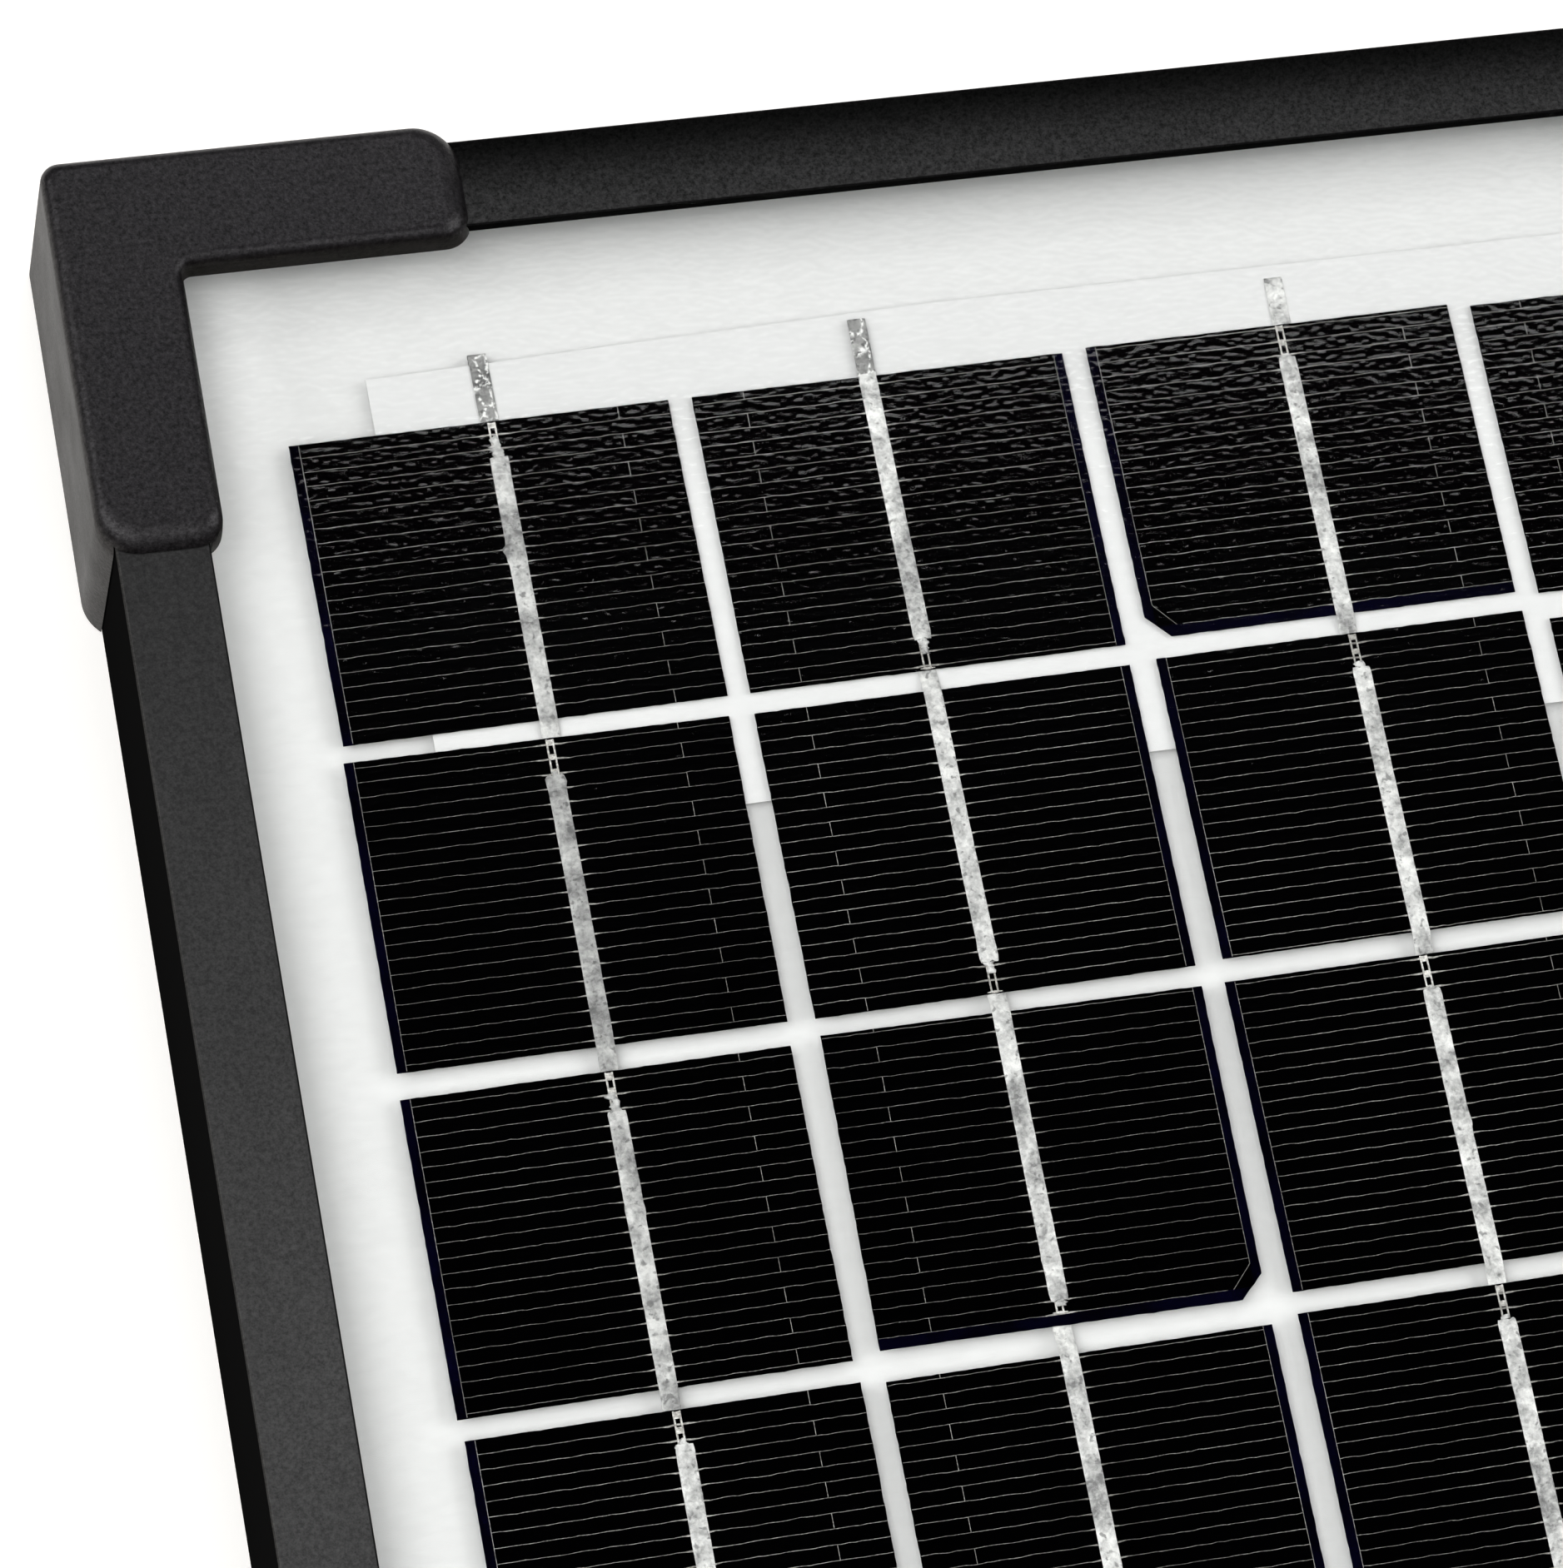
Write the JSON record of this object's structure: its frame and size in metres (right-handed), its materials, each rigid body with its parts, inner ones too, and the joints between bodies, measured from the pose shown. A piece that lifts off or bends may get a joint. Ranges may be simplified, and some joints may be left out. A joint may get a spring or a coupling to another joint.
{
  "type": "solar panel",
  "caption": "Small framed photovoltaic module: silicon cells in series strings behind textured glass, black aluminium frame, moulded corner caps and a rear junction box.",
  "frame": {"origin": "centre of the footprint on the plane that the frame's feet rest on", "axes": "+X across the four strings, +Y along the strings towards the junction box end, +Z out of the glass"},
  "size_m": [0.166, 0.2952, 0.0195],
  "materials": {
    "anodised_frame": "satin",
    "cap_plastic": "satin",
    "key_metal": "satin",
    "textured_glass": "gloss",
    "encapsulant": "gloss",
    "silicon": "gloss",
    "tinned_copper": "satin",
    "white_sheet": "matte",
    "box_plastic": "matte"
  },
  "bodies": {
    "root": {"frame_rail_left": "anodised_frame", "frame_rail_right": "anodised_frame", "frame_rail_top": "anodised_frame", "frame_rail_bottom": "anodised_frame", "corner_cap_top_left": "cap_plastic", "corner_key_top_left": "key_metal", "corner_cap_top_right": "cap_plastic", "corner_key_top_right": "key_metal", "corner_cap_bottom_left": "cap_plastic", "corner_key_bottom_left": "key_metal", "corner_cap_bottom_right": "cap_plastic", "corner_key_bottom_right": "key_metal", "glass_pane": "textured_glass", "encapsulant": "encapsulant", "back_sheet": "white_sheet", "insulating_sheet": "white_sheet", "cell_c1_r1": "silicon", "cell_c1_r2": "silicon", "cell_c1_r3": "silicon", "cell_c1_r4": "silicon", "cell_c1_r5": "silicon", "cell_c1_r6": "silicon", "cell_c1_r7": "silicon", "cell_c1_r8": "silicon", "cell_c1_r9": "silicon", "cell_c2_r1": "silicon", "cell_c2_r2": "silicon", "cell_c2_r3": "silicon", "cell_c2_r4": "silicon", "cell_c2_r5": "silicon", "cell_c2_r6": "silicon", "cell_c2_r7": "silicon", "cell_c2_r8": "silicon", "cell_c2_r9": "silicon", "cell_c3_r1": "silicon", "cell_c3_r2": "silicon", "cell_c3_r3": "silicon", "cell_c3_r4": "silicon", "cell_c3_r5": "silicon", "cell_c3_r6": "silicon", "cell_c3_r7": "silicon", "cell_c3_r8": "silicon", "cell_c3_r9": "silicon", "cell_c4_r1": "silicon", "cell_c4_r2": "silicon", "cell_c4_r3": "silicon", "cell_c4_r4": "silicon", "cell_c4_r5": "silicon", "cell_c4_r6": "silicon", "cell_c4_r7": "silicon", "cell_c4_r8": "silicon", "cell_c4_r9": "silicon", "lead_ribbon_positive": "tinned_copper", "lead_ribbon_negative": "tinned_copper", "link_ribbon_top": "tinned_copper", "link_ribbon_bottom_left": "tinned_copper", "link_ribbon_bottom_right": "tinned_copper", "junction_box_base": "box_plastic", "junction_box_lid": "box_plastic", "cable_gland": "box_plastic"}
  },
  "joints": []
}
